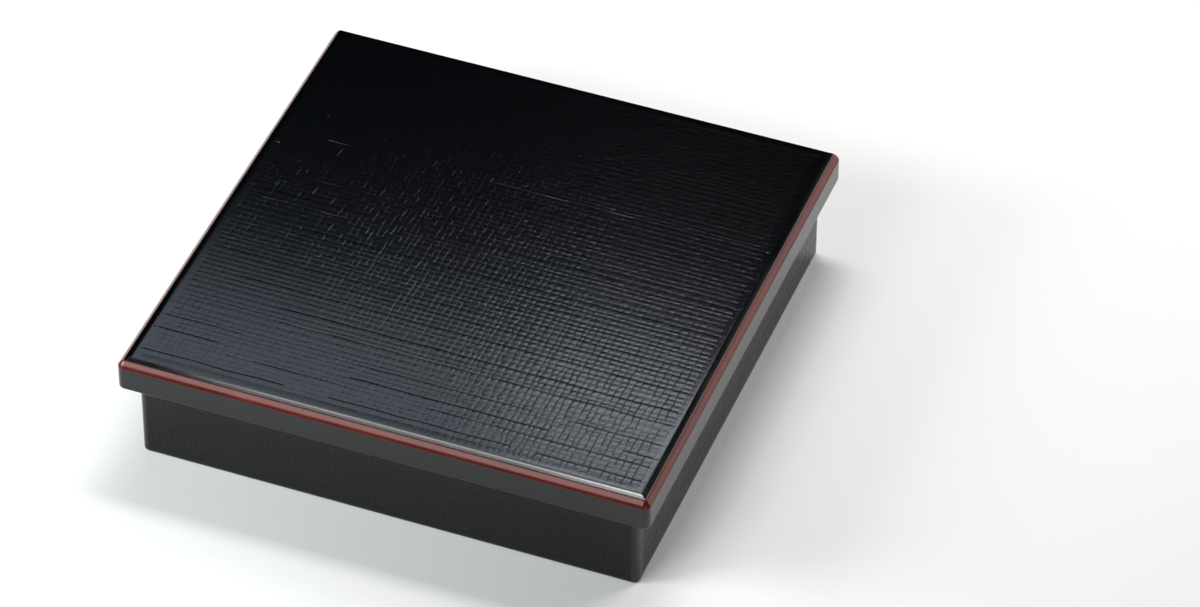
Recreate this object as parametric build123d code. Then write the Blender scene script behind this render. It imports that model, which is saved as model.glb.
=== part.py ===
from build123d import *
import os

# Square lacquered meal box: a cloth-textured box with four mitred walls, a lift-out cross divider
# and an overhanging lift-off lid whose chamfered top edge is a vermilion edging.
# Frame: +X to the right along the front wall, +Y to the back, +Z up, origin at the centre of the
# base plane that the box stands on. Millimetres.

# Overall sizes
lid_width = 258.0
total_height = 59.0
lid_side_height = 16.5
lid_overhang = 7.2
lid_clearance = 0.7

# Lid
lid_corner_radius = 3.4
lid_chamfer_width = 2.8
lid_chamfer_height = 3.2
lid_chamfer_easing = 0.5
lid_lower_edge_radius = 1.5
lid_border_fall = 0.45
lid_panel_thickness = 5.0
lid_rebate_width = 2.5
lid_smooth_border = 6.2

# Box
wall_thickness = 6.0
box_corner_radius = 3.5
box_lower_edge_radius = 1.5
wall_edging_height = 2.6
wall_edging_radius = 1.0
base_thickness = 4.0
base_lift = 1.5
base_rebate_width = 2.5

# Lacquered cloth skins
cloth_thickness = 0.4
cloth_lowest = 2.0

# Loose tongues glued into the mitres
tongue_width = 4.0
tongue_thickness = 1.2
tongue_inset = 2.6
tongue_end_margin = 1.5

# Cross divider
slat_thickness = 5.0
slat_height = 40.0
slat_end_gap = 0.3
slat_top_radius = 1.2
slat_lower_radius = 0.5

# Worked-out sizes
box_width = lid_width - 2 * lid_overhang
inner_width = box_width - 2 * wall_thickness
skirt_inner_width = box_width + 2 * lid_clearance
skirt_thickness = (lid_width - skirt_inner_width) / 2
lid_lowest = total_height - lid_side_height
chamfer_top = total_height - lid_border_fall
chamfer_foot = chamfer_top - lid_chamfer_height
wall_top = total_height - lid_panel_thickness
wall_board_top = wall_top - wall_edging_height
base_top = base_lift + base_thickness
panel_width = skirt_inner_width + 2 * lid_rebate_width
lid_cloth_width = lid_width - 2 * lid_smooth_border
wall_cloth_width = box_width - 2 * box_corner_radius
overcut = 1.0

# The front piece of a ring is made first; each next name is a quarter turn further round
SIDES = ["front", "right", "back", "left"]
CORNERS = ["front_right", "back_right", "back_left", "front_left"]


def block(width, bottom, top, corner_radius=0.0):
    """A square block centred on the Z axis, with its upright edges rounded if a radius is given."""
    if corner_radius:
        plan = RectangleRounded(width, width, corner_radius)
    else:
        plan = Rectangle(width, width)
    return Pos(0, 0, bottom) * extrude(plan, top - bottom)


def turned(shape, quarter_turns):
    """The shape moved round the Z axis by quarter turns."""
    return shape.rotate(Axis.Z, 90 * quarter_turns)


def four_around(shape):
    """The shape and its three quarter-turn copies, as one shape."""
    copies = [turned(shape, turns) for turns in range(4)]
    return copies[0] + copies[1] + copies[2] + copies[3]


def mitred_pieces(ring):
    """A square ring cut on its diagonals into its front, right, back and left pieces."""
    reach = lid_width
    front_plan = Polygon((0, 0), (-reach, -reach), (reach, -reach), align=None)
    front_sector = Pos(0, 0, -reach) * extrude(front_plan, 2 * reach)
    return [ring & turned(front_sector, turns) for turns in range(4)]


def edges_at(shape, height):
    """The edges that lie level at a height."""
    return shape.edges().filter_by_position(Axis.Z, height, height)


def mitre_tongue(inner_corner, bottom, top):
    """The loose tongue across the front right mitre, inner_corner being half the ring's inner width."""
    middle = inner_corner + tongue_inset
    height = top - bottom
    tongue = Rot(0, 0, 45) * Box(tongue_width, tongue_thickness, height)
    return Pos(middle, -middle, bottom + height / 2) * tongue


def wall_cloth():
    """The cloth skin let into the front wall's outer face, flush with it."""
    height = wall_board_top - cloth_lowest
    middle_y = -box_width / 2 + cloth_thickness / 2
    return Pos(0, middle_y, cloth_lowest + height / 2) * Box(wall_cloth_width, cloth_thickness, height)


def lid_outline():
    """The lid's outer shape: a flat top, a border that falls slightly outwards, a chamfer all round
    and rounded upright corners."""
    half_flat = lid_width / 2 - lid_smooth_border
    corner_centre = lid_width / 2 - lid_corner_radius
    border_slope = lid_border_fall / (lid_smooth_border - lid_chamfer_width)
    top_at_centre = total_height - border_slope * (corner_centre - half_flat)

    edge_plan = Polygon(
        (0, lid_lowest),
        (lid_corner_radius, lid_lowest),
        (lid_corner_radius, chamfer_foot),
        (lid_corner_radius - lid_chamfer_width, chamfer_top),
        (0, top_at_centre),
        align=None,
    )
    chamfer_vertices = edge_plan.vertices().filter_by_position(Axis.Y, chamfer_foot, chamfer_top)
    edge_plan = fillet(chamfer_vertices, lid_chamfer_easing)
    lower_corner = edge_plan.vertices().group_by(Axis.Y)[0].sort_by(Axis.X)[-1]
    edge_plan = fillet(lower_corner, lid_lower_edge_radius)
    edge_section = Plane.XZ * edge_plan

    core_plan = Polygon(
        (-corner_centre, lid_lowest),
        (corner_centre, lid_lowest),
        (corner_centre, top_at_centre),
        (half_flat, total_height),
        (-half_flat, total_height),
        (-corner_centre, top_at_centre),
        align=None,
    )
    core_prism = extrude(Plane.XZ * core_plan, corner_centre, both=True)
    core = core_prism & turned(core_prism, 1)
    side = Pos(corner_centre, 0, 0) * extrude(edge_section, corner_centre, both=True)
    corner = Pos(corner_centre, corner_centre, 0) * revolve(edge_section, Axis.Z)
    return core + four_around(side) + four_around(corner)


def lid_pieces():
    """The lid: an inset board with a cloth skin, in a mitred rim with a chamfered vermilion edging."""
    outline = lid_outline()
    edging_inner_width = lid_width - 2 * lid_chamfer_width
    edging_inner_radius = lid_corner_radius - lid_chamfer_width
    edging_zone = block(lid_width + overcut, chamfer_foot, total_height + overcut)
    edging_zone -= block(edging_inner_width, 0, total_height + overcut, edging_inner_radius)
    edging_ring = outline & edging_zone

    tongue = mitre_tongue(
        skirt_inner_width / 2, lid_lowest + tongue_end_margin, wall_top - tongue_end_margin
    )
    rim_ring = outline - edging_zone
    rim_ring -= block(skirt_inner_width, 0, wall_top)
    rim_ring -= block(panel_width, wall_top, total_height + overcut)
    rim_ring -= four_around(tongue)

    cloth = block(lid_cloth_width, total_height - cloth_thickness, total_height)
    panel = outline & block(panel_width, wall_top, total_height)
    pieces = {"lid_panel": panel - cloth, "lid_panel_cloth": cloth}
    rims = mitred_pieces(rim_ring)
    edgings = mitred_pieces(edging_ring)
    for turns, (side, corner) in enumerate(zip(SIDES, CORNERS)):
        pieces["lid_rim_" + side] = rims[turns]
        pieces["lid_edging_" + side] = edgings[turns]
        pieces["lid_tongue_" + corner] = turned(tongue, turns)
    return pieces


def box_pieces():
    """The box: four mitred walls with cloth skins and a vermilion top edging, round a base board."""
    wall_ring = block(box_width, 0, wall_board_top, box_corner_radius)
    wall_ring = fillet(edges_at(wall_ring, 0), box_lower_edge_radius)
    base_width = inner_width + 2 * base_rebate_width
    cloth = wall_cloth()
    tongue = mitre_tongue(
        inner_width / 2, base_top + tongue_end_margin, wall_board_top - tongue_end_margin
    )
    wall_ring -= block(inner_width, -overcut, wall_board_top + overcut)
    wall_ring -= block(base_width, -overcut, base_top)
    wall_ring -= four_around(cloth)
    wall_ring -= four_around(tongue)

    edging_ring = block(box_width, wall_board_top, wall_top, box_corner_radius)
    edging_ring -= block(inner_width, wall_board_top - overcut, wall_top + overcut)
    edging_ring = fillet(edges_at(edging_ring, wall_top), wall_edging_radius)

    pieces = {"base_board": block(base_width, base_lift, base_top)}
    walls = mitred_pieces(wall_ring)
    edgings = mitred_pieces(edging_ring)
    for turns, (side, corner) in enumerate(zip(SIDES, CORNERS)):
        pieces["wall_" + side] = walls[turns]
        pieces["wall_cloth_" + side] = turned(cloth, turns)
        pieces["wall_edging_" + side] = edgings[turns]
        pieces["wall_tongue_" + corner] = turned(tongue, turns)
    return pieces


def slat():
    """A divider slat along X, standing on the base board, before its half-lap slot is cut."""
    length = inner_width - 2 * slat_end_gap
    board = Pos(0, 0, base_top + slat_height / 2) * Box(length, slat_thickness, slat_height)
    long_edges = board.edges().filter_by(Axis.X)
    board = fillet(long_edges.group_by(Axis.Z)[-1], slat_top_radius)
    long_edges = board.edges().filter_by(Axis.X)
    return fillet(long_edges.group_by(Axis.Z)[0], slat_lower_radius)


def divider_pieces():
    """The cross divider: two slats half-lapped through each other."""
    half_height = slat_height / 2
    slot = Box(slat_thickness, slat_thickness + overcut, half_height + overcut)
    upper_slot = Pos(0, 0, base_top + slat_height + overcut / 2 - half_height / 2) * slot
    lower_slot = Pos(0, 0, base_top - overcut / 2 + half_height / 2) * slot
    return {
        "divider_slat_across": slat() - upper_slot,
        "divider_slat_deep": turned(slat() - lower_slot, 1),
    }


def main():
    os.makedirs("parts", exist_ok=True)
    pieces = {**box_pieces(), **divider_pieces(), **lid_pieces()}
    for name, shape in pieces.items():
        export_step(shape, "parts/" + name + ".step")


main()
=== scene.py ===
import math

import bmesh
import bpy
import numpy as np
from mathutils import Matrix, Vector


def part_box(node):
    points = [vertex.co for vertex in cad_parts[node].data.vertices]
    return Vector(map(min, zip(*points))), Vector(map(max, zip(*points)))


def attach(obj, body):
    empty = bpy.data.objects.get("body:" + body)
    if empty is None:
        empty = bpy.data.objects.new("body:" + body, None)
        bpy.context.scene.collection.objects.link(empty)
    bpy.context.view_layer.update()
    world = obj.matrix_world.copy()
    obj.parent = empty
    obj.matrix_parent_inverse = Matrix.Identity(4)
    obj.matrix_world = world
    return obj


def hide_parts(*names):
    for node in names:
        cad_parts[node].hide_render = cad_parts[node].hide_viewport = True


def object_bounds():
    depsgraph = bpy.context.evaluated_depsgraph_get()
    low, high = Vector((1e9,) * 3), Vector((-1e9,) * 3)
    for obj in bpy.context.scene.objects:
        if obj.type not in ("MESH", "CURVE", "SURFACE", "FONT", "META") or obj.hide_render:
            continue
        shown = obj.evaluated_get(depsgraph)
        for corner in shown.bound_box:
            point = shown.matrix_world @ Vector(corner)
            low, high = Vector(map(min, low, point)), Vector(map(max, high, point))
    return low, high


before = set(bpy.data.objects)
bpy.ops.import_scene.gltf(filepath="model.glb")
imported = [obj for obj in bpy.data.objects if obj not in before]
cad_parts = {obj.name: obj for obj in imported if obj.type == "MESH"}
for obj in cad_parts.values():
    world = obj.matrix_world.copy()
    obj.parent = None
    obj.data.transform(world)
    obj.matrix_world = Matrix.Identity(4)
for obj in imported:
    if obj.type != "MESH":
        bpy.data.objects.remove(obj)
cad_low, cad_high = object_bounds()

MM = 0.001
SIDES = ["front", "right", "back", "left"]
CORNERS = ["front_right", "back_right", "back_left", "front_left"]
BLACK_SLOT = "black_lacquered_board"
CLOTH_SLOT = "lacquered_cloth"
VERMILION_SLOT = "vermilion_edging"
SHARP_ANGLE = math.radians(30)
MERGE_DISTANCE = 0.002 * MM

# Lid sizes. Depths are measured inwards from the lid's outer faces.
LID_HALF = cad_high[0]
LID_TOP = cad_high[2]
RIM_LOW, RIM_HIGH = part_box("lid_rim_front")
RIM_DEPTH = LID_HALF + RIM_HIGH.y
BOARD_LOW, BOARD_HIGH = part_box("lid_panel")
BOARD_DEPTH = LID_HALF - BOARD_HIGH.x
LID_CLOTH_LOW, LID_CLOTH_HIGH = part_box("lid_panel_cloth")
LID_CLOTH_DEPTH = LID_HALF - LID_CLOTH_HIGH.x
LID_CORNER_RADIUS = 3.4 * MM
LID_LOWER_EDGE_RADIUS = 1.5 * MM
RIM_INNER_EDGE_RADIUS = 0.5 * MM

# The lid's border bends slowly outwards to the vermilion chamfer
CHAMFER_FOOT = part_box("lid_edging_front")[0].z
CHAMFER_WIDTH = 2.8 * MM
CHAMFER_HEIGHT = 3.2 * MM
CHAMFER_SLOPE = math.atan2(CHAMFER_HEIGHT, CHAMFER_WIDTH)
BORDER_FALL = LID_TOP - CHAMFER_FOOT - CHAMFER_HEIGHT
BORDER_BEND_END = 4.4 * MM
BORDER_SLOPE = 2 * BORDER_FALL / (LID_CLOTH_DEPTH + BORDER_BEND_END - 2 * CHAMFER_WIDTH)
BORDER_ANGLE = math.atan(BORDER_SLOPE)
CHAMFER_EASING = 0.5 * MM
CHAMFER_CROWN = 0.20 * MM
JOINT_EASING = 0.15 * MM
SIDE_EASING = 0.5 * MM

# Box sizes. Depths are measured inwards from the walls' outer faces.
WALL_LOW, WALL_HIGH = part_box("wall_front")
WALL_HALF = -WALL_LOW.y
WALL_DEPTH = WALL_HALF + WALL_HIGH.y
WALL_CORNER_RADIUS = 3.5 * MM
WALL_LOWER_EDGE_RADIUS = 1.5 * MM
WALL_EDGING_RADIUS = 1.0 * MM
WALL_EDGING_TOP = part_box("wall_edging_front")[1].z
WALL_CLOTH_LOW, WALL_CLOTH_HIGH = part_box("wall_cloth_front")
CLOTH_THICKNESS = WALL_CLOTH_HIGH.y - WALL_CLOTH_LOW.y
CLOTH_STEP_HEIGHT = 0.02 * MM
BASE_LOW, BASE_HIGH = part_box("base_board")
BASE_EDGE_EASING = 0.3 * MM
REBATE_DEPTH = WALL_HALF - BASE_HIGH.x
SLAT_TOP_RADIUS = 1.2 * MM
SLAT_LOWER_RADIUS = 0.5 * MM
SLAT_EDGING_MARGIN = 0.05 * MM

# The cloth under the lacquer: a plain weave whose threads still show, with open gaps between some
THREAD_WIDTH = 3.17 * MM
WARP_SAMPLES = [0.0, 0.07, 0.5, 0.93]
WEFT_SAMPLES = [0.0, 0.06, 0.46, 0.86]
CROWN_SAMPLE = 2
THREAD_RELIEF = 0.10 * MM
WARP_GAP_DEPTH = 0.045 * MM
WEFT_GAP_DEPTH = 0.115 * MM
OPEN_LEVEL = 0.9
OPEN_GAIN = 2.2
CLOTH_BORDER_RAMP = 4.5 * MM
WARP_WANDER = 0.22 * MM
WEFT_WANDER = 0.16 * MM
# The relief at the left, at the right, and how far the gaps between wefts close towards the back
LID_RELIEF = (0.5, 0.85, 3.0)
WALL_RELIEF = (1.8, 1.8, 0.0)
HOLLOW_ATTRIBUTE = "hollow"


# ---------------------------------------------------------------- mesh helpers

def smooth_step(value):
    """0 below 0, 1 above 1 and a smooth rise between."""
    t = np.clip(value, 0, 1)
    return t * t * (3 - 2 * t)


def arc_points(depth, height, radius, start, end, steps):
    """Points of an arc about (depth, height), its angles in degrees from the depth axis."""
    angles = np.radians(np.linspace(start, end, steps + 1))
    return [(depth + radius * math.cos(a), height + radius * math.sin(a)) for a in angles]


def turned(quarter_turns):
    """A turn about the Z axis that takes the front side to another side."""
    return Matrix.Rotation(math.radians(90 * quarter_turns), 4, "Z")


def make_object(name, verts, faces, quarter_turns=0):
    """A mesh object with doubles merged, faces turned outwards and smooth shading between creases."""
    mesh = bpy.data.meshes.new(name)
    mesh.from_pydata(verts, [], faces)
    bm = bmesh.new()
    bm.from_mesh(mesh)
    bmesh.ops.remove_doubles(bm, verts=bm.verts, dist=MERGE_DISTANCE)
    bmesh.ops.recalc_face_normals(bm, faces=bm.faces)
    return finished_object(mesh, bm, quarter_turns)


def finished_object(mesh, bm, quarter_turns=0):
    """An object from a finished bmesh, turned to its side and smooth between creases."""
    bmesh.ops.transform(bm, matrix=turned(quarter_turns), verts=bm.verts)
    bm.to_mesh(mesh)
    bm.free()
    mesh.shade_smooth()
    mesh.set_sharp_from_angle(angle=SHARP_ANGLE)
    piece = bpy.data.objects.new(mesh.name, mesh)
    bpy.context.scene.collection.objects.link(piece)
    return piece


def settle(piece, body, node, slot, *materials):
    """Puts a finished piece on its body, in place of its CAD node, with its materials."""
    for material in materials:
        piece.data.materials.append(material)
    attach(piece, body)
    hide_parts(node)
    return piece


def strip(profile, half, corner_radius, sunk=None, capped=True):
    """The front strip of a square ring, from mitre to mitre, as vertices and faces.
    profile is a closed list of (depth, height), half is the ring's half width at depth 0, and the
    corners' arcs shrink with depth. sunk gives for each profile point how much deeper it lies
    between the corners."""
    arc_steps = 12
    straight_steps = 26
    end_inset = 0.0006
    left_arc = np.radians(np.linspace(225, 270, arc_steps + 1))
    right_arc = np.radians(np.linspace(270, 315, arc_steps + 1))
    along = np.linspace(-1 + end_inset, 1 - end_inset, straight_steps + 1)
    sunk = sunk or [0] * len(profile)
    rows = []
    for (depth, height), deeper in zip(profile, sunk):
        radius = max(corner_radius - depth, 0)
        centre = half - max(corner_radius, depth)
        rows.append(
            [(-centre + radius * math.cos(a), -centre + radius * math.sin(a), height) for a in left_arc]
            + [(t * centre, -(half - depth - deeper), height) for t in along]
            + [(centre + radius * math.cos(a), -centre + radius * math.sin(a), height) for a in right_arc]
        )
    stations = len(rows[0])
    verts = [point for row in rows for point in row]
    faces = []
    for a in range(len(rows)):
        b = (a + 1) % len(rows)
        for s in range(stations - 1):
            this, other = a * stations + s, b * stations + s
            faces.append((this, this + 1, other + 1, other))
    if capped:
        faces.append(tuple(a * stations for a in range(len(rows))))
        faces.append(tuple(a * stations + stations - 1 for a in reversed(range(len(rows)))))
    return verts, faces


def border_height(depth):
    """The height of the lid's smooth border at a depth: flat at the cloth, then bending outwards."""
    bend = LID_CLOTH_DEPTH - BORDER_BEND_END
    out = LID_CLOTH_DEPTH - depth
    if out < bend:
        return LID_TOP - BORDER_SLOPE * out**2 / (2 * bend)
    return LID_TOP - BORDER_SLOPE * (out - bend / 2)


def border_points(start, end, steps):
    """Points along the lid's smooth border, from one depth to another."""
    return [(depth, border_height(depth)) for depth in np.linspace(start, end, steps + 1)]


def eased_corner(corner, slope_before, slope_after, radius, steps):
    """The arc that eases a corner of the lid's edge, from the slope before it to the slope after it,
    the slopes being angles below level towards the outer face."""
    depth, height = corner
    turn = slope_after - slope_before
    reach = radius / math.cos(turn / 2)
    middle = (slope_before + slope_after) / 2
    centre_depth = depth + reach * math.sin(middle)
    centre_height = height - reach * math.cos(middle)
    angles = np.linspace(slope_before, slope_after, steps + 1)
    return [(centre_depth - radius * math.sin(a), centre_height + radius * math.cos(a)) for a in angles]


# ---------------------------------------------------------------- the cloth's relief

def waves(rng, x, y, length_x, length_y, count=7):
    """A smooth uneven field between about -1 and 1, with waves near the two lengths."""
    total = np.zeros(np.broadcast(x, y).shape)
    for _ in range(count):
        across = 2 * math.pi / length_x * rng.uniform(0.4, 1.3) * rng.choice([-1, 1])
        up = 2 * math.pi / length_y * rng.uniform(0.4, 1.3)
        total += np.sin(across * x + up * y + rng.uniform(0, 2 * math.pi))
    return total / math.sqrt(count)


def thread_edges(rng, length, count):
    """Where count threads of uneven width begin and end, along a length centred on 0."""
    widths = np.clip(rng.normal(1, 0.15, count), 0.7, 1.35)
    edges = np.concatenate([[0], np.cumsum(widths)])
    return (edges / edges[-1] - 0.5) * length


def open_gaps(rng, count):
    """Which gaps beside the weft threads stay open: the lacquer leaves one open every few threads."""
    gaps = np.zeros(count + 1)
    gap = int(rng.integers(1, 4))
    while gap < count:
        gaps[gap] = rng.uniform(0.9, 1.0)
        gap += int(rng.choice([2, 2, 3, 3, 3, 4]))
    return gaps


def weave(rng, width, height, relief):
    """A plain weave under lacquer: grid positions x and y and the depth below the highest threads,
    each as a grid. relief holds the threads' relief at the left and at the right, as shares of
    THREAD_RELIEF, and how far the gaps between wefts close towards the back."""
    left_share, right_share, back_closing = relief
    warps = round(width / THREAD_WIDTH)
    wefts = round(height / THREAD_WIDTH)
    tx = np.append((np.arange(warps)[:, None] + WARP_SAMPLES).ravel(), warps)[:, None]
    ty = np.append((np.arange(wefts)[:, None] + WEFT_SAMPLES).ravel(), wefts)[None, :]
    x = np.interp(tx, np.arange(warps + 1), thread_edges(rng, width, warps))
    y = np.interp(ty, np.arange(wefts + 1), thread_edges(rng, height, wefts))
    x, y = np.broadcast_arrays(x, y)
    warp = np.minimum(np.floor(tx), warps - 1).astype(int)
    weft = np.minimum(np.floor(ty), wefts - 1).astype(int)
    warp_round = 0.5 - 0.5 * np.cos(2 * math.pi * (tx - warp))
    weft_round = 0.5 - 0.5 * np.cos(2 * math.pi * (ty - weft))

    over = np.where((warp + weft) % 2 == 0, 1.0, 0.75)
    height_share = rng.uniform(0.45, 1.0, (warps, wefts))[warp, weft]
    crown = warp_round * weft_round * over * height_share
    # The relief rises from the left to the right, and the weft gaps close towards the back
    to_right = smooth_step((x / width + 0.40) / 0.7)
    share = left_share + (right_share - left_share) * to_right
    weft_gap = np.rint(ty).astype(int)
    weft_open = open_gaps(rng, wefts)[weft_gap] * (ty == weft_gap)
    unevenness = waves(rng, warp * THREAD_WIDTH, weft_gap * THREAD_WIDTH, 90 * MM, 4 * MM)
    closing = back_closing * smooth_step((y / height - 0.12) / 0.25)
    weft_open = weft_open * (unevenness > OPEN_LEVEL - OPEN_GAIN * share + closing)
    warp_gap = np.rint(tx).astype(int)
    warp_open = rng.uniform(0.1, 1.0, (warps + 1, wefts))[warp_gap, weft] * (tx == warp_gap)
    depth = THREAD_RELIEF * share * (1 - crown)
    depth = depth + np.maximum(WEFT_GAP_DEPTH * weft_open, WARP_GAP_DEPTH * share * warp_open)

    edge = np.minimum(width / 2 - np.abs(x), height / 2 - np.abs(y))
    inside = smooth_step(edge / CLOTH_BORDER_RAMP)
    depth = np.maximum(inside * (depth - depth.min()), 0)
    x = x + inside * WARP_WANDER * waves(rng, x, y, 9 * MM, 12 * MM)
    y = y + inside * WEFT_WANDER * waves(rng, x, y, 30 * MM, 11 * MM)
    return x, y, depth


def cloth_skin(name, rng, width, height, relief, place, body, node, quarter_turns, material):
    """A closed skin with the weave on its outer face. place(x, y, depth) gives a point's place,
    depth being measured down from the outer face."""
    x, y, depth = weave(rng, width, height, relief)
    columns, rows = x.shape
    grid = np.arange(columns * rows).reshape(columns, rows)
    verts = [place(*point) for point in zip(x.ravel(), y.ravel(), depth.ravel())]
    corners = (grid[:-1, :-1], grid[1:, :-1], grid[1:, 1:], grid[:-1, 1:])
    faces = [tuple(face) for face in np.stack(corners, -1).reshape(-1, 4).tolist()]
    rim = np.concatenate([grid[:-1, 0], grid[-1, :-1], grid[:0:-1, -1], grid[0, :0:-1]]).tolist()
    first = len(verts)
    verts += [place(x.flat[i], y.flat[i], CLOTH_THICKNESS) for i in rim]
    count = len(rim)
    faces += [(rim[i], rim[(i + 1) % count], first + (i + 1) % count, first + i) for i in range(count)]
    faces.append(tuple(range(first, first + count)))
    piece = make_object(name, verts, faces, quarter_turns)
    crease_gaps(piece.data, columns, rows)
    hollow = piece.data.attributes.new(HOLLOW_ATTRIBUTE, "FLOAT", "POINT")
    amounts = np.zeros(len(piece.data.vertices))
    amounts[: depth.size] = (depth / depth.max()).ravel()
    hollow.data.foreach_set("value", amounts)
    return settle(piece, body, node, CLOTH_SLOT, material)


def crease_gaps(mesh, columns, rows):
    """Marks the edges along the gaps as sharp, so that the lacquer's shading breaks there."""
    ends = np.empty(2 * len(mesh.edges), dtype=int)
    mesh.edges.foreach_get("vertices", ends)
    ends = ends.reshape(-1, 2)
    column, row = ends // rows, ends % rows
    on_skin = ends.max(1) < columns * rows
    in_weft_gap = (row[:, 0] == row[:, 1]) & (row[:, 0] % len(WEFT_SAMPLES) != CROWN_SAMPLE)
    in_warp_gap = (column[:, 0] == column[:, 1]) & (column[:, 0] % len(WARP_SAMPLES) != CROWN_SAMPLE)
    sharp = np.empty(len(mesh.edges), dtype=bool)
    mesh.edges.foreach_get("use_edge_sharp", sharp)
    mesh.edges.foreach_set("use_edge_sharp", sharp | on_skin & (in_weft_gap | in_warp_gap))


# ---------------------------------------------------------------- materials

DEEP_BLACK = (0.0003, 0.0005, 0.0007)
SOFT_BLACK = (0.0006, 0.0009, 0.0012)
SPECK_HEIGHT = 0.004 * MM
FIBRE_HEIGHT = 0.010 * MM
RIPPLE_HEIGHT = 0.02 * MM
GRAIN_HEIGHT = 0.02 * MM


def new_material(name):
    """A material with its node tree and its Principled node."""
    material = bpy.data.materials.new(name)
    material.use_nodes = True
    tree = material.node_tree
    shader = tree.nodes["Principled BSDF"]
    return material, tree, shader


def noise_node(tree, coordinates, scale, detail=4.0, roughness=0.55):
    noise = tree.nodes.new("ShaderNodeTexNoise")
    noise.inputs["Scale"].default_value = scale
    noise.inputs["Detail"].default_value = detail
    noise.inputs["Roughness"].default_value = roughness
    tree.links.new(coordinates, noise.inputs["Vector"])
    return noise.outputs["Fac"]


def object_coordinates(tree):
    return tree.nodes.new("ShaderNodeTexCoord").outputs["Object"]


def mapped(tree, value, low, high, to_low, to_high):
    """A number carried from one range to another, held at its ends."""
    node = tree.nodes.new("ShaderNodeMapRange")
    node.inputs["From Min"].default_value = low
    node.inputs["From Max"].default_value = high
    node.inputs["To Min"].default_value = to_low
    node.inputs["To Max"].default_value = to_high
    tree.links.new(value, node.inputs["Value"])
    return node.outputs["Result"]


def colour_between(tree, factor, first, second):
    node = tree.nodes.new("ShaderNodeMix")
    node.data_type = "RGBA"
    node.inputs["A"].default_value = (*first, 1)
    node.inputs["B"].default_value = (*second, 1)
    tree.links.new(factor, node.inputs["Factor"])
    return node.outputs["Result"]


def bump(tree, height, distance, strength=1.0, under=None):
    node = tree.nodes.new("ShaderNodeBump")
    node.inputs["Strength"].default_value = strength
    node.inputs["Distance"].default_value = distance
    tree.links.new(height, node.inputs["Height"])
    if under is not None:
        tree.links.new(under, node.inputs["Normal"])
    return node.outputs["Normal"]


def lacquer(name, dark, light, low_roughness, high_roughness, tint=(1, 1, 1)):
    """Polished lacquer over wood: slow ripples from the brush, uneven gloss and fine dust specks."""
    material, tree, shader = new_material(name)
    place = object_coordinates(tree)
    slow = noise_node(tree, place, 34)
    fine = noise_node(tree, place, 900, 2.0)
    tree.links.new(colour_between(tree, mapped(tree, slow, 0.35, 0.65, 0, 1), dark, light),
                   shader.inputs["Base Color"])
    tree.links.new(mapped(tree, slow, 0.3, 0.7, low_roughness, high_roughness), shader.inputs["Roughness"])
    shader.inputs["Specular Tint"].default_value = (*tint, 1)
    specks = bump(tree, fine, SPECK_HEIGHT)
    tree.links.new(bump(tree, slow, RIPPLE_HEIGHT, under=specks), shader.inputs["Normal"])
    return material


def cloth_lacquer(name, thread_roughness, gap_roughness, specular):
    """Lacquer over coarse cloth: polished on the threads, dull in the gaps, with fine fibres."""
    material, tree, shader = new_material(name)
    place = object_coordinates(tree)
    hollow = tree.nodes.new("ShaderNodeAttribute")
    hollow.attribute_name = HOLLOW_ATTRIBUTE
    fibre = noise_node(tree, place, 1300, 3.0)
    tree.links.new(colour_between(tree, mapped(tree, fibre, 0.3, 0.7, 0, 1),
                                  DEEP_BLACK, SOFT_BLACK),
                   shader.inputs["Base Color"])
    tree.links.new(mapped(tree, hollow.outputs["Fac"], 0.3, 0.9, thread_roughness, gap_roughness),
                   shader.inputs["Roughness"])
    tree.links.new(bump(tree, fibre, FIBRE_HEIGHT), shader.inputs["Normal"])
    shader.inputs["Specular IOR Level"].default_value = specular
    return material


def bare_wood(name):
    """Plain straight-grained wood for the tongues hidden in the mitres."""
    material, tree, shader = new_material(name)
    stretch = tree.nodes.new("ShaderNodeMapping")
    stretch.inputs["Scale"].default_value = (1.0, 1.0, 0.08)
    tree.links.new(object_coordinates(tree), stretch.inputs["Vector"])
    grain = noise_node(tree, stretch.outputs["Vector"], 1500, 6.0)
    tree.links.new(colour_between(tree, mapped(tree, grain, 0.35, 0.65, 0, 1),
                                  (0.36, 0.23, 0.12), (0.58, 0.42, 0.25)),
                   shader.inputs["Base Color"])
    tree.links.new(bump(tree, grain, GRAIN_HEIGHT), shader.inputs["Normal"])
    shader.inputs["Roughness"].default_value = 0.7
    return material


BLACK = lacquer("black_gloss_lacquer", DEEP_BLACK, SOFT_BLACK, 0.10, 0.16)
SATIN = lacquer("black_satin_lacquer", (0.006, 0.006, 0.007), (0.010, 0.010, 0.011), 0.28, 0.36)
VERMILION = lacquer("vermilion_lacquer", (0.080, 0.011, 0.008), (0.110, 0.016, 0.012), 0.15, 0.21,
                    tint=(1.0, 0.77, 0.75))
CLOTH = cloth_lacquer("black_cloth_lacquer", 0.12, 0.24, 0.5)
WALL_CLOTH = cloth_lacquer("dull_black_cloth_lacquer", 0.22, 0.40, 0.36)
WOOD = bare_wood("bare_tongue_wood")


# ---------------------------------------------------------------- lid

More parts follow.
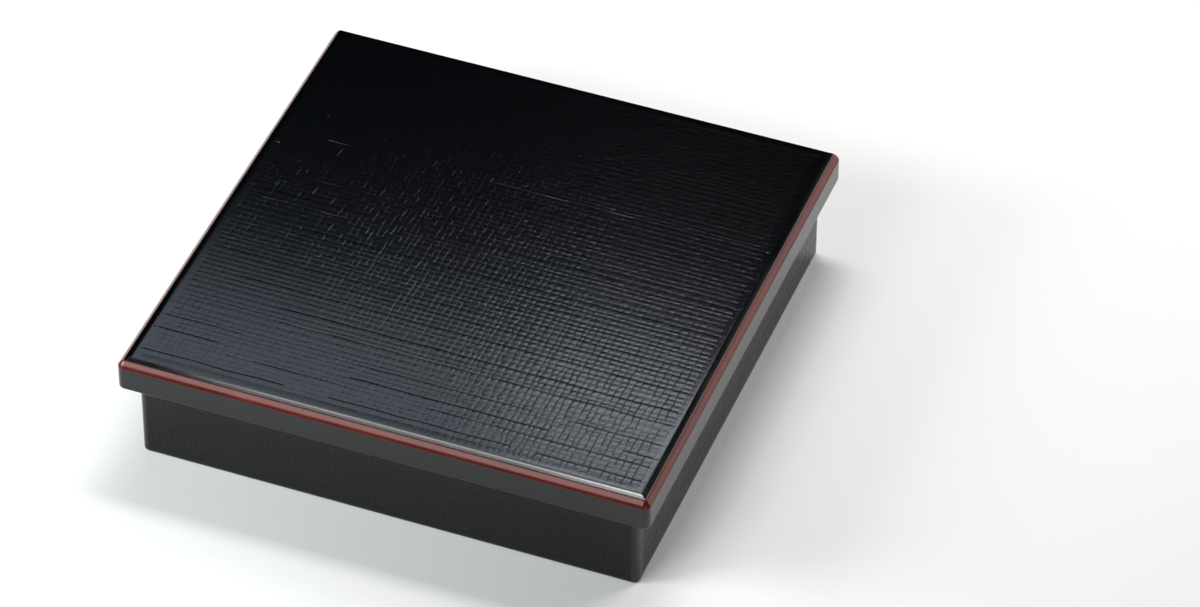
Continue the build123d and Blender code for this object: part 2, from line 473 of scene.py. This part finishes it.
def lid_rim_profile():
    """The hanging rim: down the outer face from the edging, round and up inside to the board."""
    lower = LID_LOWER_EDGE_RADIUS
    inner = RIM_INNER_EDGE_RADIUS
    easing = eased_corner((0, CHAMFER_FOOT), CHAMFER_SLOPE, math.radians(90), CHAMFER_EASING, 4)
    foot = easing[-1][1]
    points = [(0, foot), (0, foot - SIDE_EASING), (0, RIM_LOW.z + lower + SIDE_EASING)]
    points += arc_points(lower, RIM_LOW.z + lower, lower, 180, 270, 8)
    points += arc_points(RIM_DEPTH - inner, RIM_LOW.z + inner, inner, 270, 360, 5)
    points += [(RIM_DEPTH, BOARD_LOW.z), (BOARD_DEPTH, BOARD_LOW.z)]
    joint = (CHAMFER_WIDTH, border_height(CHAMFER_WIDTH))
    points += border_points(BOARD_DEPTH, CHAMFER_WIDTH + JOINT_EASING, 3)
    points += eased_corner(joint, BORDER_ANGLE, math.radians(90), JOINT_EASING, 4)
    return points + [(CHAMFER_WIDTH, foot)]


def bulge(start, end, rise, steps):
    """Points between two points of a profile, on a shallow arch of a given rise."""
    along = np.subtract(end, start)
    outwards = np.array([-along[1], along[0]]) / np.hypot(*along)
    if outwards[0] > 0:
        outwards = -outwards
    between = np.linspace(0, 1, steps + 1)[1:-1]
    return [tuple(start + t * along + 4 * t * (1 - t) * rise * outwards) for t in between]


def lid_edging_profile():
    """The vermilion edging: a chamfer with eased edges in front of a square back."""
    joint = (CHAMFER_WIDTH, border_height(CHAMFER_WIDTH))
    upper = eased_corner(joint, math.radians(-90), CHAMFER_SLOPE, JOINT_EASING, 8)
    lower = eased_corner((0, CHAMFER_FOOT), CHAMFER_SLOPE, math.radians(90), CHAMFER_EASING, 4)
    return upper + bulge(upper[-1], lower[0], CHAMFER_CROWN, 8) + lower + [(CHAMFER_WIDTH, lower[-1][1])]


def lid_board():
    """The lid's board, with the inner part of the smooth border and the seat for the cloth."""
    profile = [(BOARD_DEPTH, BOARD_LOW.z)]
    profile += border_points(BOARD_DEPTH, LID_CLOTH_DEPTH, 6)
    profile += [(LID_CLOTH_DEPTH, LID_CLOTH_LOW.z), (LID_HALF, LID_CLOTH_LOW.z), (LID_HALF, BOARD_LOW.z)]
    verts, faces = [], []
    quarter_verts, quarter_faces = strip(profile, LID_HALF, 0, capped=False)
    for turns in range(4):
        first = len(verts)
        verts += [tuple(turned(turns) @ Vector(point)) for point in quarter_verts]
        faces += [tuple(first + i for i in face) for face in quarter_faces]
    piece = make_object("lid_board_lacquered", verts, faces)
    return settle(piece, "lid", "lid_panel", BLACK_SLOT, BLACK)


def build_lid():
    lid_board()
    width = 2 * LID_CLOTH_HIGH.x

    def on_top(x, y, depth):
        return (x, y, LID_TOP - depth)

    cloth_skin("lid_cloth_lacquered", np.random.default_rng(11), width, width,
               LID_RELIEF, on_top, "lid", "lid_panel_cloth", 0, CLOTH)
    for turns, side in enumerate(SIDES):
        rim = make_object("lid_rim_lacquered_" + side,
                          *strip(lid_rim_profile(), LID_HALF, LID_CORNER_RADIUS), turns)
        settle(rim, "lid", "lid_rim_" + side, BLACK_SLOT, BLACK)
        edging = make_object("lid_edging_lacquered_" + side,
                             *strip(lid_edging_profile(), LID_HALF, LID_CORNER_RADIUS), turns)
        settle(edging, "lid", "lid_edging_" + side, VERMILION_SLOT, VERMILION)


# ---------------------------------------------------------------- box

def wall_profile():
    """A wall's section and how deep each point is let in behind the cloth."""
    lower = WALL_LOWER_EDGE_RADIUS
    points = [(0, WALL_HIGH.z), (0, WALL_CLOTH_LOW.z)]
    sunk = [CLOTH_THICKNESS, CLOTH_THICKNESS]
    points += [(0, WALL_CLOTH_LOW.z - CLOTH_STEP_HEIGHT)]
    points += arc_points(lower, lower, lower, 180, 270, 8)
    points += [(REBATE_DEPTH, 0), (REBATE_DEPTH, BASE_HIGH.z), (WALL_DEPTH, BASE_HIGH.z)]
    points += [(WALL_DEPTH, WALL_HIGH.z)]
    return points, sunk + [0] * (len(points) - 2)


def wall_edging_profile():
    """The vermilion edging on a wall's top, rounded over on both sides."""
    edge = WALL_EDGING_RADIUS
    top = WALL_EDGING_TOP
    points = [(WALL_DEPTH, WALL_HIGH.z)]
    points += arc_points(WALL_DEPTH - edge, top - edge, edge, 0, 90, 8)
    points += arc_points(edge, top - edge, edge, 90, 180, 8)
    return points + [(0, WALL_HIGH.z)]


def base_board():
    """The base board, with eased edges."""
    size = BASE_HIGH - BASE_LOW
    centre = (BASE_HIGH + BASE_LOW) / 2
    bm = bmesh.new()
    bmesh.ops.create_cube(bm, size=1, matrix=Matrix.Translation(centre) @ Matrix.Diagonal((*size, 1)))
    bmesh.ops.bevel(bm, geom=bm.edges, offset=BASE_EDGE_EASING, segments=3, affect="EDGES", profile=0.5)
    return finished_object(bpy.data.meshes.new("base_board_lacquered"), bm)


def build_box():
    piece = base_board()
    settle(piece, "box", "base_board", BLACK_SLOT, SATIN)
    width = 2 * WALL_CLOTH_HIGH.x
    height = WALL_CLOTH_HIGH.z - WALL_CLOTH_LOW.z
    middle = (WALL_CLOTH_HIGH.z + WALL_CLOTH_LOW.z) / 2

    def on_wall(x, y, depth):
        return (x, -WALL_HALF + depth, middle + y)

    profile, sunk = wall_profile()
    for turns, side in enumerate(SIDES):
        wall = make_object("wall_lacquered_" + side,
                           *strip(profile, WALL_HALF, WALL_CORNER_RADIUS, sunk), turns)
        settle(wall, "box", "wall_" + side, BLACK_SLOT, BLACK)
        edging = make_object("wall_edging_lacquered_" + side,
                             *strip(wall_edging_profile(), WALL_HALF, WALL_CORNER_RADIUS), turns)
        settle(edging, "box", "wall_edging_" + side, VERMILION_SLOT, VERMILION)
        cloth_skin("wall_cloth_lacquered_" + side, np.random.default_rng(21 + turns), width, height,
                   WALL_RELIEF, on_wall, "box", "wall_cloth_" + side, turns, WALL_CLOTH)
    for corner in CORNERS:
        for prefix in ("wall_tongue_", "lid_tongue_"):
            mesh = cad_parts[prefix + corner].data
            mesh.materials.clear()
            mesh.materials.append(WOOD)


# ---------------------------------------------------------------- divider

def slat(name, node, slot_at_top, quarter_turns):
    """A divider slat with its half-lap slot, rounded top and eased lower edges."""
    low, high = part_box(node)
    half_length = max(high.x, high.y)
    half_thick = min(high.x, high.y)
    middle = (low.z + high.z) / 2
    if slot_at_top:
        outline = [(-half_length, low.z), (half_length, low.z), (half_length, high.z),
                   (half_thick, high.z), (half_thick, middle), (-half_thick, middle),
                   (-half_thick, high.z), (-half_length, high.z)]
    else:
        outline = [(-half_length, low.z), (-half_thick, low.z), (-half_thick, middle),
                   (half_thick, middle), (half_thick, low.z), (half_length, low.z),
                   (half_length, high.z), (-half_length, high.z)]
    bm = bmesh.new()
    front = bm.faces.new([bm.verts.new((x, -half_thick, z)) for x, z in outline])
    swept = bmesh.ops.extrude_face_region(bm, geom=[front])
    back = [v for v in swept["geom"] if isinstance(v, bmesh.types.BMVert)]
    bmesh.ops.translate(bm, verts=back, vec=(0, 2 * half_thick, 0))
    bmesh.ops.recalc_face_normals(bm, faces=bm.faces)

    def long_edges(height):
        return [e for e in bm.edges if all(abs(v.co.z - height) < 1e-6 for v in e.verts)
                and abs(e.verts[0].co.y - e.verts[1].co.y) < 1e-6]

    bmesh.ops.bevel(bm, geom=long_edges(high.z), offset=SLAT_TOP_RADIUS, segments=6,
                    affect="EDGES", profile=0.5)
    bmesh.ops.bevel(bm, geom=long_edges(low.z), offset=SLAT_LOWER_RADIUS, segments=3,
                    affect="EDGES", profile=0.5)
    for face in bm.faces:
        rounded = face.calc_center_median().z > high.z - SLAT_TOP_RADIUS - SLAT_EDGING_MARGIN
        face.material_index = 1 if rounded and abs(face.normal.x) < 0.5 else 0
    piece = finished_object(bpy.data.meshes.new(name), bm, quarter_turns)
    return settle(piece, "divider", node, BLACK_SLOT, SATIN, VERMILION)


def build_divider():
    slat("divider_slat_lacquered_across", "divider_slat_across", True, 0)
    slat("divider_slat_lacquered_deep", "divider_slat_deep", False, 1)


# ---------------------------------------------------------------- stage, light and camera

def build_floor():
    bm = bmesh.new()
    bmesh.ops.create_grid(bm, x_segments=8, y_segments=8, size=4)
    mesh = bpy.data.meshes.new("floor")
    bm.to_mesh(mesh)
    bm.free()
    floor = bpy.data.objects.new("floor", mesh)
    bpy.context.scene.collection.objects.link(floor)
    material, _, shader = new_material("pale_floor")
    shader.inputs["Base Color"].default_value = (0.86, 0.86, 0.86, 1)
    shader.inputs["Roughness"].default_value = 0.9
    shader.inputs["Specular IOR Level"].default_value = 0.0
    mesh.materials.append(material)


def area_light(name, place, target, width, depth, radiance, colour):
    """A rectangular softbox of a given radiance, facing its target."""
    data = bpy.data.lights.new(name, "AREA")
    data.shape = "RECTANGLE"
    data.size = width
    data.size_y = depth
    data.energy = radiance * math.pi * width * depth
    data.color = colour
    lamp = bpy.data.objects.new(name, data)
    lamp.location = place
    lamp.rotation_euler = (Vector(target) - Vector(place)).to_track_quat("-Z", "Y").to_euler()
    bpy.context.scene.collection.objects.link(lamp)


def build_world():
    """A dim room for reflections and a white backdrop for the camera."""
    world = bpy.data.worlds.new("studio")
    world.use_nodes = True
    tree = world.node_tree
    output = tree.nodes["World Output"]
    room = tree.nodes["Background"]
    room.inputs["Color"].default_value = (0.008, 0.011, 0.015, 1)
    backdrop = tree.nodes.new("ShaderNodeBackground")
    backdrop.inputs["Color"].default_value = (0.95, 0.95, 0.95, 1)
    mix = tree.nodes.new("ShaderNodeMixShader")
    tree.links.new(tree.nodes.new("ShaderNodeLightPath").outputs["Is Camera Ray"], mix.inputs["Fac"])
    tree.links.new(room.outputs["Background"], mix.inputs[1])
    tree.links.new(backdrop.outputs["Background"], mix.inputs[2])
    tree.links.new(mix.outputs["Shader"], output.inputs["Surface"])
    bpy.context.scene.world = world


def build_light():
    build_world()
    area_light("core", (0.0, 0.42, 1.05), (0.0, 0.42, 0), 0.40, 0.20, 21, (1.0, 0.98, 0.96))
    area_light("core_left", (-0.33, 0.42, 1.05), (-0.33, 0.42, 0), 0.26, 0.20, 8, (1.0, 0.98, 0.96))
    area_light("bridge", (-0.03, 0.61, 1.05), (-0.03, 0.61, 0), 0.18, 0.18, 4.5, (1.0, 0.98, 0.96))
    area_light("skirt", (-0.44, 0.74, 1.06), (-0.44, 0.74, 0), 0.64, 0.40, 1.8, (0.74, 0.83, 1.0))
    area_light("near", (-0.23, 0.905, 1.05), (-0.23, 0.905, 0), 0.22, 0.07, 6.0, (0.90, 0.93, 1.0))
    area_light("left", (-0.6, -0.5, 0.45), (-0.1, -0.2, 0), 0.35, 0.35, 15, (0.92, 1.0, 0.99))
    area_light("front", (-0.51, -1.40, 1.33), (0, 0, 0.05), 0.9, 0.95, 4.2, (1.0, 0.97, 0.95))
    area_light("right", (0.9, 1.5, 1.4), (0.1, 0.1, 0.05), 1.2, 0.9, 6.5, (1.0, 0.98, 0.95))
    area_light("right_low", (1.5, 1.5, 0.42), (0, 0, 0.05), 1.6, 0.8, 1.6, (1.0, 0.98, 0.95))
    area_light("front_right", (1.3, -1.5, 0.55), (0, 0, 0.05), 1.4, 0.7, 0.9, (0.85, 0.92, 1.0))
    bpy.context.scene.view_settings.view_transform = "Standard"


def build_camera():
    """The camera, fitted to the photo's outline: azimuth and elevation about the box, a slight roll
    and a long lens."""
    azimuth = math.radians(20.64)
    elevation = math.radians(42.05)
    roll = math.radians(0.45)
    aim = Matrix.Rotation(azimuth, 4, "Z") @ Matrix.Rotation(math.pi / 2 - elevation, 4, "X")
    offset = aim @ Vector((0.0530, 0.0213, 2.7586))
    data = bpy.data.cameras.new("camera")
    data.sensor_width = 36
    data.lens = 176.6
    data.clip_start = 0.1
    data.clip_end = 50
    camera = bpy.data.objects.new("camera", data)
    camera.matrix_world = Matrix.Translation(offset) @ aim @ Matrix.Rotation(roll, 4, "Z")
    bpy.context.scene.collection.objects.link(camera)
    bpy.context.scene.camera = camera


build_lid()
build_box()
build_divider()
build_floor()
build_light()
build_camera()
